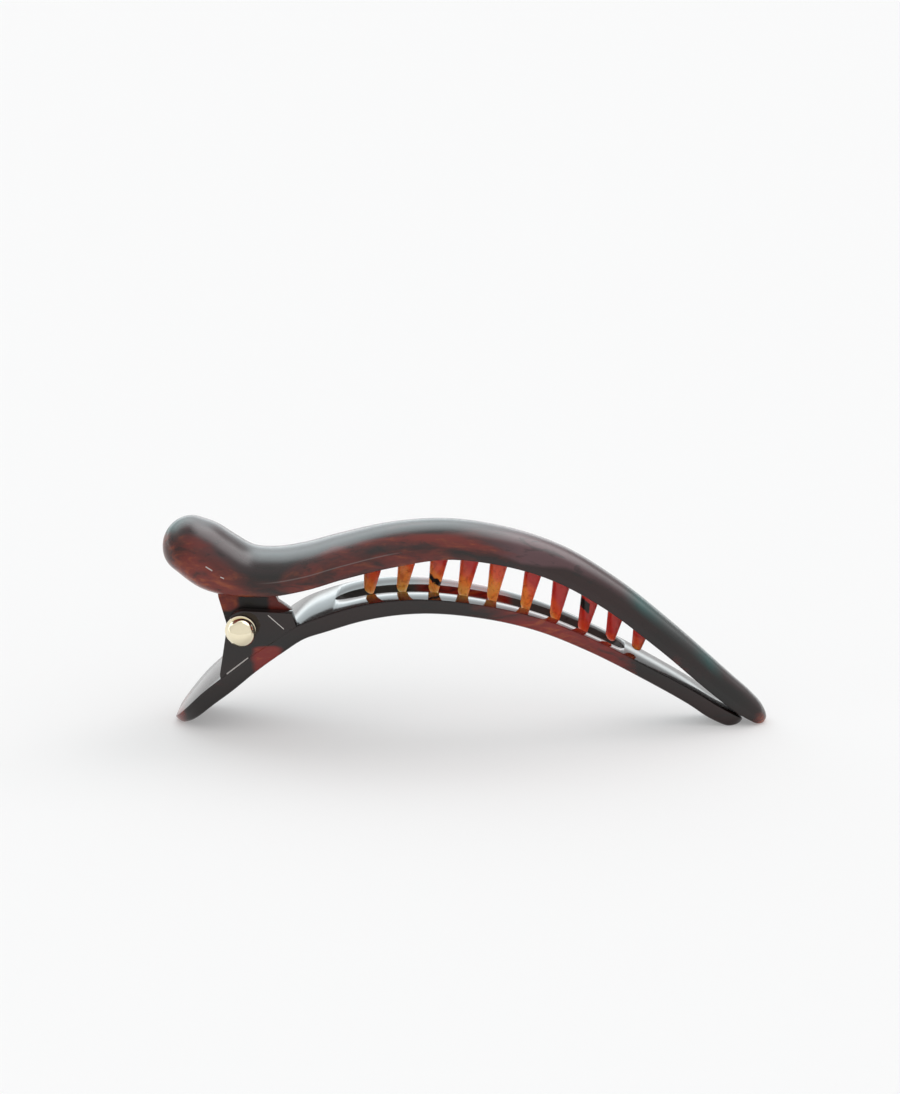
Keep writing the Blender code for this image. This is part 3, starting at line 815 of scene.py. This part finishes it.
# The acetate: how its clouds are drawn out along the jaw, the noise scales of its patterns, how soft its red
# and amber places are at their edges, how strong its amber and its dark veins are, and its gloss
DRAWN_OUT = (0.33, 1.0, 1.0)
SHEET_SCALE = 60.0
WAVE_SCALE = 90.0
CLOUD_SCALE = 110.0
STREAK_SCALE = 330.0
SPECK_SCALE = 900.0
RED_SOFTNESS = 0.35
AMBER_SOFTNESS = 0.22
AMBER_STRENGTH = 0.45
VEIN_STRENGTH = 0.6
UPPER_ROUGHNESS = 0.20
LOWER_ROUGHNESS = 0.07
ROUGHNESS_SPREAD = 0.05
ACETATE_IOR = 1.48

# How much of each jaw is red-brown rather than dark, along X in mm
UPPER_REDNESS = (
    (-62.0, 0.62),
    (-54.0, 0.85),
    (-46.0, 0.60),
    (-42.0, 0.36),
    (-37.0, 0.36),
    (-32.0, 0.50),
    (-14.0, 0.68),
    (2.0, 0.66),
    (10.0, 0.42),
    (19.0, 0.14),
    (26.0, 0.04),
    (36.0, 0.04),
    (42.0, 0.40),
    (47.0, 0.08),
    (54.0, 0.46),
    (57.0, 0.25),
    (60.5, 0.95),
)
# How much painted mauve sheen, a painted reflection of the sky, the upper jaw has along X
UPPER_MAUVE_SHEEN = (
    (-61.0, 0.1),
    (-50.0, 0.3),
    (-40.0, 0.1),
    (-2.0, 0.1),
    (4.0, 0.35),
    (11.0, 0.85),
    (20.0, 0.75),
    (27.0, 0.30),
    (60.0, 0.10),
)
# Above which share of the jaw's height the painted mauve sheen starts
UPPER_MAUVE_SHEEN_EDGE = (
    (-61.0, 0.70),
    (4.0, 0.45),
    (11.0, 0.25),
    (15.0, 0.35),
    (20.0, 0.60),
    (27.0, 0.70),
    (60.0, 0.80),
)
UPPER_AMBER = ((-61.0, 0.62), (-50.0, 0.42), (-5.0, 0.42), (58.0, 0.30), (60.5, 0.9))
UPPER_GLOSS = ((-62.0, 0.12), (-59.0, 0.22), (-53.0, 0.50), (61.0, 0.50))
# How much painted teal sheen the upper jaw has along X, near its crest
UPPER_TEAL_SHEEN = (
    (-62.0, 0.9),
    (-59.0, 0.6),
    (-55.0, 0.0),
    (31.0, 0.0),
    (35.0, 0.9),
    (40.0, 0.3),
    (45.0, 0.2),
    (49.0, 0.7),
    (52.0, 0.0),
)
# The upper jaw's ears lie left of this X and under the first heights, and are red above the second
UPPER_EARS_END = -33.0
UPPER_EARS_UNDER = ((27.5, 1.0), (28.5, 0.0))
UPPER_EARS_RED_ABOVE = ((23.5, 0.0), (25.8, 1.0))
UPPER_EARS_SPAN = 100.0
UPPER_EARS_REDNESS = ((-50.0, 0.95), (-46.5, 0.95), (-44.5, 0.15), (-39.5, 0.15), (-38.0, 0.8), (-33.0, 0.8))
NEAR_LOWER_REDNESS = (
    (-59.5, 0.80),
    (-57.0, 0.60),
    (-55.0, 0.10),
    (-43.0, 0.10),
    (-41.0, 0.70),
    (-37.5, 0.62),
    (-35.5, 0.10),
    (-8.0, 0.10),
    (0.0, 0.52),
    (8.0, 0.72),
    (20.0, 0.88),
    (28.0, 0.85),
    (34.0, 0.60),
    (36.5, 0.05),
    (57.0, 0.10),
)
FAR_LOWER_REDNESS = (
    (-59.5, 0.80),
    (-57.0, 0.60),
    (-55.0, 0.10),
    (-14.0, 0.10),
    (-8.0, 0.90),
    (6.0, 0.90),
    (10.0, 0.0),
    (57.0, 0.0),
)
# The lower jaw's ears lie between these places along X and over these heights
LOWER_EARS = (-50.0, -34.0)
LOWER_EARS_OVER = ((17.5, 0.0), (18.75, 1.0))
LOWER_EARS_SPAN = 50.0
# How much painted bounce light lifts the slot's shaded walls by their distance from the middle, and how far
# past its ends that goes
SLOT_BOUNCE_LIGHT_ACROSS = ((3.136, 0.7), (3.264, 0.0))
SLOT_BOUNCE_LIGHT_SPAN = 6.4
SLOT_BOUNCE_LIGHT_PAST = 0.2
# The near ear's outer face and the side of the jaw under it are beyond this Y
OUTER_FACE_Y = -11.0
# How much redder the teeth are, along X
TOOTH_REDNESS = (
    (-21.0, 0.10),
    (-12.0, 0.0),
    (10.0, 0.0),
    (17.0, 0.28),
    (22.0, 0.55),
    (28.0, 0.50),
    (34.0, 0.35),
)

# Painted highlight lines on the near side of the lower jaw, on the ear and along the ledge: x and height of
# both ends, and half width
EAR_LINE = ((-38.8, 24.5), (-35.7, 21.7), 0.09)
LEDGE_LINE = ((-47.2, 12.4), (-42.9, 15.75), 0.10)
# Two painted glints on the near side of the pad, and a long painted highlight streak on the jaw's side with
# its strength along X
UPPER_LINES = (
    ((-51.0, 34.1), (-49.7, 33.3), 0.10),
    ((-48.1, 32.1), (-47.4, 31.8), 0.09),
)
PAINTED_HIGHLIGHT_STREAK = ((-41.0, 0.0), (-36.0, 0.16), (-16.0, 0.16), (-12.0, 0.0))


def between(n, value, limits, start, end):
    """A value that runs evenly from start to end between the two limits."""
    inputs = {"Value": value, "From Min": limits[0], "From Max": limits[1], "To Min": start, "To Max": end}
    return n.add("ShaderNodeMapRange", inputs).outputs[0]


def along_x(n, x, rows):
    """A value set by a table of (x in mm, value) rows, smooth between them."""
    first = rows[0][0]
    last = rows[-1][0]
    share = between(n, x, (first * MM, last * MM), 0.0, 1.0)
    stops = [((place - first) / (last - first), value) for place, value in rows]
    return ramp(n, share, stops, "LINEAR")


def by_distance(n, distance, rows, span):
    """A value set by a distance of up to the span, in mm, eased between its (mm, value) rows."""
    share = n.math("MULTIPLY", distance, 1.0 / (span * MM))
    return ramp(n, share, [(place / span, value) for place, value in rows])


def patches(n, field, amount, softness):
    """1 where the field is within about the given amount of its top, with an edge as soft as asked."""
    total = n.math("ADD", field, n.math("MULTIPLY_ADD", amount, 1.4, -0.25))
    return n.add(
        "ShaderNodeMapRange",
        {"Value": total, "From Min": 1.0 - softness, "From Max": 1.0 + softness},
        interpolation_type="SMOOTHSTEP",
    ).outputs[0]


def spread(n, field):
    """A noise field stretched to fill 0 to 1."""
    return between(n, field, (0.30, 0.70), 0.0, 1.0)


def tortoiseshell(name, seed, pattern, red_brown, painted_light, roughness):
    """Polished acetate: charcoal sheet with red-brown clouds drawn out along it, and amber streaks in those.

    The pattern is a function that works out, from the nodes and the split coordinates, how red and amber each
    place is, how much painted teal sheen, painted light and painted highlight it takes, and how strong its
    gloss is.
    """
    made, n, shader = new_material(name)
    coordinates = n.add("ShaderNodeTexCoord").outputs["Object"]
    x, y, z = n.add("ShaderNodeSeparateXYZ", {0: coordinates}).outputs
    drawn = n.add("ShaderNodeMapping", {"Vector": coordinates, "Scale": DRAWN_OUT}).outputs[0]
    clouds = spread(n, noise(n, drawn, CLOUD_SCALE, 4.0, 0.55, 0.8, seed))
    streaks = spread(n, noise(n, drawn, STREAK_SCALE, 5.0, 0.6, 2.2, seed + 3.7))
    specks = spread(n, noise(n, coordinates, SPECK_SCALE, 3.0, 0.6, 0.4, seed + 8.1))
    shades = spread(n, noise(n, drawn, SHEET_SCALE, 3.0, 0.5, 0.3, seed + 6.0))
    waves = noise(n, coordinates, WAVE_SCALE, 2.0, 0.4, 0.0, seed + 1.3)
    red, amber, teal, painted_light_share, highlighted, gloss = pattern(n, x, y, z)
    in_red = patches(n, clouds, red, RED_SOFTNESS)
    in_amber = n.math("MULTIPLY", patches(n, streaks, amber, AMBER_SOFTNESS), in_red)
    veins = ramp(n, streaks, ((0.08, 1.0), (0.42, 0.0)))
    colour = mix(n, shades, CHARCOAL, DEEP_BROWN)
    # The first layer is painted light (a painted sheen or painted bounce light), the teal is a painted sheen
    # and the pale lines are painted highlights
    for share, laid in (
        (painted_light_share, painted_light),
        (in_red, red_brown),
        (n.math("MULTIPLY", in_amber, AMBER_STRENGTH), AMBER),
        (n.math("MULTIPLY", veins, VEIN_STRENGTH), CHARCOAL),
        (teal, PAINTED_TEAL_SHEEN),
        (highlighted, PAINTED_HIGHLIGHT),
    ):
        colour = mix(n, share, colour, laid)
    n.feed(shader.inputs["Base Color"], colour)
    n.feed(shader.inputs["Specular IOR Level"], gloss)
    shader.inputs["IOR"].default_value = ACETATE_IOR
    rough = between(n, specks, (0.0, 1.0), roughness, roughness + ROUGHNESS_SPREAD)
    n.feed(shader.inputs["Roughness"], rough)
    bump = n.add("ShaderNodeBump", {"Strength": 0.05, "Distance": 0.0004, "Height": waves})
    n.feed(shader.inputs["Normal"], bump.outputs[0])
    return made


def fine_line(n, x, z, start, end, half_width):
    """1 on a thin straight line seen from the side."""
    run = Vector(end) - Vector(start)
    length = run.length
    run.normalize()
    right = n.math("SUBTRACT", x, start[0] * MM)
    up = n.math("SUBTRACT", z, start[1] * MM)
    along = n.math("ADD", n.math("MULTIPLY", right, run.x), n.math("MULTIPLY", up, run.y))
    off = n.math("SUBTRACT", n.math("MULTIPLY", up, run.x), n.math("MULTIPLY", right, run.y))
    within = n.math("COMPARE", along, length / 2 * MM, length / 2 * MM)
    return n.math("MULTIPLY", n.math("LESS_THAN", n.math("ABSOLUTE", off), half_width * MM), within)


def upper_pattern(n, x, y, z):
    """Redder low on the jaw's side and at its ends, with a painted mauve and teal sheen only towards the
    crest, and painted highlights.
    """
    rise = n.add("ShaderNodeAttribute", attribute_name="rise").outputs["Fac"]
    low = ramp(n, rise, ((0.10, 1.0), (0.45, 0.92), (0.80, 0.60), (0.95, 0.40)), "LINEAR")
    on_ear = by_distance(n, z, UPPER_EARS_UNDER, UPPER_EARS_SPAN)
    on_ear = n.math("MULTIPLY", on_ear, n.math("LESS_THAN", x, UPPER_EARS_END * MM))
    ear_top = by_distance(n, z, UPPER_EARS_RED_ABOVE, UPPER_EARS_SPAN)
    ear_red = n.math("MULTIPLY", n.math("MULTIPLY", ear_top, on_ear), along_x(n, x, UPPER_EARS_REDNESS))
    red = n.math("MULTIPLY", along_x(n, x, UPPER_REDNESS), low)
    red = n.math("ADD", n.math("MULTIPLY", red, n.math("SUBTRACT", 1.0, on_ear)), ear_red)
    amber = n.math("MULTIPLY", along_x(n, x, UPPER_AMBER), low)
    amber = n.math("MAXIMUM", amber, n.math("MULTIPLY", ear_red, 0.5))
    # A painted mauve sheen high on the dome, for the sky's reflection
    above = n.math("SUBTRACT", rise, along_x(n, x, UPPER_MAUVE_SHEEN_EDGE))
    high = ramp(n, n.math("ADD", above, 0.5), ((0.42, 0.0), (0.58, 1.0)))
    mauve = n.math("MULTIPLY", along_x(n, x, UPPER_MAUVE_SHEEN), high)
    # A painted teal sheen towards the crest
    teal = n.math("MULTIPLY", along_x(n, x, UPPER_TEAL_SHEEN), ramp(n, rise, ((0.55, 0.0), (0.90, 0.9))))
    gloss = n.math("MULTIPLY", along_x(n, x, UPPER_GLOSS), n.math("MULTIPLY_ADD", on_ear, -0.4, 1.0))
    # Painted highlights: a streak low on the side and glints on the pad
    pale = ramp(n, rise, ((0.385, 0.0), (0.41, 1.0), (0.44, 0.0)))
    pale = n.math("MULTIPLY", pale, along_x(n, x, PAINTED_HIGHLIGHT_STREAK))
    outside = n.math("LESS_THAN", y, 0.0)
    for line in UPPER_LINES:
        pale = n.math("MAXIMUM", pale, n.math("MULTIPLY", outside, fine_line(n, x, z, *line)))
    return red, amber, teal, mauve, pale, gloss


def lower_pattern(n, x, y, z):
    """Red and dark along each side of the slot as the tables say, dark ears, painted light in the slot and
    painted highlights.
    """
    far = n.math("GREATER_THAN", y, 0.0)
    near = n.math("SUBTRACT", 1.0, far)
    ears_start, ears_end = LOWER_EARS
    at_ears = n.math("LESS_THAN", x, ears_end * MM)
    at_ears = n.math("MULTIPLY", at_ears, n.math("GREATER_THAN", x, ears_start * MM))
    on_ear = n.math("MULTIPLY", by_distance(n, z, LOWER_EARS_OVER, LOWER_EARS_SPAN), at_ears)
    near_red = n.math("MULTIPLY", along_x(n, x, NEAR_LOWER_REDNESS), near)
    far_red = n.math("MULTIPLY", along_x(n, x, FAR_LOWER_REDNESS), far)
    red = n.math("MULTIPLY", n.math("ADD", near_red, far_red), n.math("SUBTRACT", 1.0, on_ear))
    slot_middle = (SLOT_START_X + SLOT_END_X) / 2
    slot_half = (SLOT_END_X - SLOT_START_X) / 2 + SLOT_BOUNCE_LIGHT_PAST
    # Painted bounce light on the slot's shaded walls
    in_slot = by_distance(n, n.math("ABSOLUTE", y), SLOT_BOUNCE_LIGHT_ACROSS, SLOT_BOUNCE_LIGHT_SPAN)
    in_slot = n.math("MULTIPLY", in_slot, n.math("COMPARE", x, slot_middle * MM, slot_half * MM))
    # Painted highlight lines on the near ear and along the ledge's edge
    lines = n.math("ADD", fine_line(n, x, z, *EAR_LINE), fine_line(n, x, z, *LEDGE_LINE))
    painted_highlights = n.math("MULTIPLY", n.math("LESS_THAN", y, OUTER_FACE_Y * MM), lines)
    return red, n.math("MULTIPLY", red, 0.5), 0.0, in_slot, painted_highlights, 0.5


def amber_teeth():
    """The thin teeth let light through: dark red at the root, orange along them and pale amber at the tip."""
    made, n, shader = new_material("amber_teeth")
    coordinates = n.add("ShaderNodeTexCoord").outputs["Object"]
    x = n.add("ShaderNodeSeparateXYZ", {0: coordinates}).outputs["X"]
    from_tip, place, half, across, reach = [
        n.add("ShaderNodeAttribute", attribute_name=name).outputs["Fac"]
        for name in ("from_tip", "band_place", "band_half", "across", "band_reach")
    ]
    streaks = spread(n, noise(n, coordinates, 700.0, 5.0, 0.6, 1.2, 2.0))
    clouds = noise(n, coordinates, 140.0, 3.0, 0.5, 0.4, 5.0)
    sway = n.math("MULTIPLY", n.math("SUBTRACT", clouds, 0.5), TOOTH_SWAY)
    height = n.math("ADD", n.math("ADD", from_tip, sway), along_x(n, x, TOOTH_REDNESS))
    grain = n.math("MULTIPLY", ramp(n, streaks, ((0.45, 0.0), (0.9, 1.0))), TOOTH_GRAIN_STRENGTH)
    colour = mix(n, grain, ramp(n, height, TOOTH_AMBERS), TOOTH_GRAIN)
    wander = n.math("MULTIPLY", n.math("SUBTRACT", streaks, 0.5), BAND_WANDER)
    apart = n.math("ABSOLUTE", n.math("SUBTRACT", n.math("ADD", from_tip, wander), place))
    banded = ramp(n, n.math("SUBTRACT", n.math("ADD", half, 0.5), apart), ((0.49, 0.0), (0.515, 1.0)))
    banded = n.math("MULTIPLY", banded, n.math("LESS_THAN", across, reach))
    n.feed(shader.inputs["Base Color"], mix(n, banded, colour, BAND_BLACK))
    for name, value in (
        ("Roughness", 0.16),
        ("IOR", 1.42),
        ("Subsurface Weight", 0.7),
        ("Subsurface Scale", 0.0016),
        ("Subsurface Radius", (1.0, 0.35, 0.10)),
    ):
        shader.inputs[name].default_value = value
    return made


def metal(name, colour, roughness, wear):
    """A polished metal with fine handling marks in its gloss."""
    made, n, shader = new_material(name)
    coordinates = n.add("ShaderNodeTexCoord").outputs["Object"]
    marks = noise(n, coordinates, METAL_MARK_SCALE, 4.0, 0.6, 0.3, 1.0)
    shade = tuple(value * METAL_MARK_SHADE for value in colour)
    n.feed(shader.inputs["Base Color"], mix(n, n.math("MULTIPLY", marks, METAL_MARK_STRENGTH), colour, shade))
    n.feed(shader.inputs["Roughness"], between(n, marks, (0.0, 1.0), roughness, roughness + wear))
    shader.inputs["Metallic"].default_value = 1.0
    bump = n.add("ShaderNodeBump", {"Strength": 0.05, "Distance": 0.0001, "Height": marks})
    n.feed(shader.inputs["Normal"], bump.outputs[0])
    return made


def dress(obj, finish):
    obj.data.materials.clear()
    obj.data.materials.append(finish)


def smooth(obj):
    obj.data.shade_smooth()
    obj.data.set_sharp_from_angle(angle=math.radians(SHARP_DEGREES))


def build_clip():
    upper_shell = tortoiseshell(
        "tortoiseshell_upper", 4.2, upper_pattern, UPPER_RED_BROWN, PAINTED_MAUVE_SHEEN, UPPER_ROUGHNESS
    )
    lower_shell = tortoiseshell(
        "tortoiseshell_lower", 9.4, lower_pattern, LOWER_RED_BROWN, SLOT_BOUNCE_LIGHT, LOWER_ROUGHNESS
    )
    gold = metal("polished_pale_gold", PALE_GOLD, 0.07, 0.06)

    ears = [upper_ear("upper_ear_near", -1), upper_ear("upper_ear_far", 1)]
    upper = join("upper_jaw_moulding", [upper_jaw_dome(), *ears])
    dress(upper, upper_shell)
    smooth(upper)
    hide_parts("upper_jaw")
    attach(upper, "upper")

    row = teeth(amber_teeth())
    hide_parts("upper_jaw")
    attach(row, "upper")

    ears = [lower_ear("lower_ear_near", -1), lower_ear("lower_ear_far", 1)]
    lower = join("lower_jaw_moulding", [cut_slot(lower_jaw_strip()), *ears])
    dress(lower, lower_shell)
    smooth(lower)
    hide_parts("lower_jaw")
    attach(lower, "lower")

    for place, side in (("near", -1), ("far", 1)):
        for piece, node in (
            (gold_ball("gold_ball_" + place, side), "ball_" + place),
            (gold_washer("gold_washer_" + place, side), "washer_" + place),
        ):
            dress(piece, gold)
            smooth(piece)
            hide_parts(node)
            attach(piece, "lower")

    coil = coil_spring(metal("spring_steel", WIRE_STEEL, 0.24, 0.12))
    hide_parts("spring")
    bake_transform(coil)

    pin_finish = metal("pin_steel", PIN_STEEL, 0.2, 0.1)
    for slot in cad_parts["hinge_pin"].material_slots:
        slot.material = pin_finish


# The studio


def pale_floor():
    mesh = bmesh.new()
    mesh.faces.new([mesh.verts.new((x, y, 0.0)) for x, y in FLOOR_CORNERS])
    floor = mesh_object("pale_floor", mesh)
    made, _, shader = new_material("pale_floor")
    shader.inputs["Base Color"].default_value = (*FLOOR_WHITE, 1.0)
    shader.inputs["Roughness"].default_value = 0.9
    shader.inputs["Specular IOR Level"].default_value = 0.0
    shader.inputs["Emission Color"].default_value = (1.0, 1.0, 1.0, 1.0)
    shader.inputs["Emission Strength"].default_value = FLOOR_GLOW
    dress(floor, made)


def softbox(n, side, height, box):
    """The light of one softbox in a direction given by its side and its height."""
    left, left_edge, right, right_edge, low, low_edge, high, high_edge, power, colour = box
    share = power
    for value, start, end in (
        (side, left, left + left_edge),
        (side, right + right_edge, right),
        (height, low, low + low_edge),
        (height, high + high_edge, high),
    ):
        edge = n.add(
            "ShaderNodeMapRange",
            {"Value": value, "From Min": start, "From Max": end},
            interpolation_type="SMOOTHSTEP",
        ).outputs[0]
        share = n.math("MULTIPLY", edge, share)
    return n.add("ShaderNodeVectorMath", {0: colour, "Scale": share}, operation="SCALE").outputs[0]


def studio():
    world = bpy.data.worlds.new("soft_studio")
    bpy.context.scene.world = world
    world.use_nodes = True
    n = Nodes(world.node_tree)
    direction = n.add("ShaderNodeTexCoord").outputs["Generated"]
    side, depth, up = n.add("ShaderNodeSeparateXYZ", {0: direction}).outputs
    height = n.math("MULTIPLY", n.math("ARCTAN2", up, depth), 180.0 / math.pi)
    walls = between(n, depth, WALL_DEPTHS, FRONT_WALL, BACK_WALL)
    skyline = between(n, height, SKYLINE_HEIGHTS, SKYLINE, 0.0)
    sky = n.math("MAXIMUM", walls, skyline)
    for box in SOFTBOXES:
        light = softbox(n, side, height, box)
        sky = n.add("ShaderNodeVectorMath", {0: sky, 1: light}, operation="ADD").outputs[0]
    background = world.node_tree.nodes["Background"]
    n.feed(background.inputs["Color"], sky)
    background.inputs["Strength"].default_value = 1.0


def photo_camera():
    data = bpy.data.cameras.new("camera")
    data.lens = CAMERA_LENS
    data.sensor_width = 36.0
    data.clip_start = 0.01
    data.clip_end = 50.0
    made = bpy.data.objects.new("camera", data)
    place = Vector(CAMERA_PLACE) * MM
    aim = Vector(CAMERA_AIM) * MM
    made.location = place
    made.rotation_euler = (aim - place).to_track_quat("-Z", "Y").to_euler()
    bpy.context.scene.collection.objects.link(made)
    bpy.context.scene.camera = made


photo_camera()
studio()
pale_floor()
build_clip()
bpy.context.scene.view_settings.view_transform = "Standard"
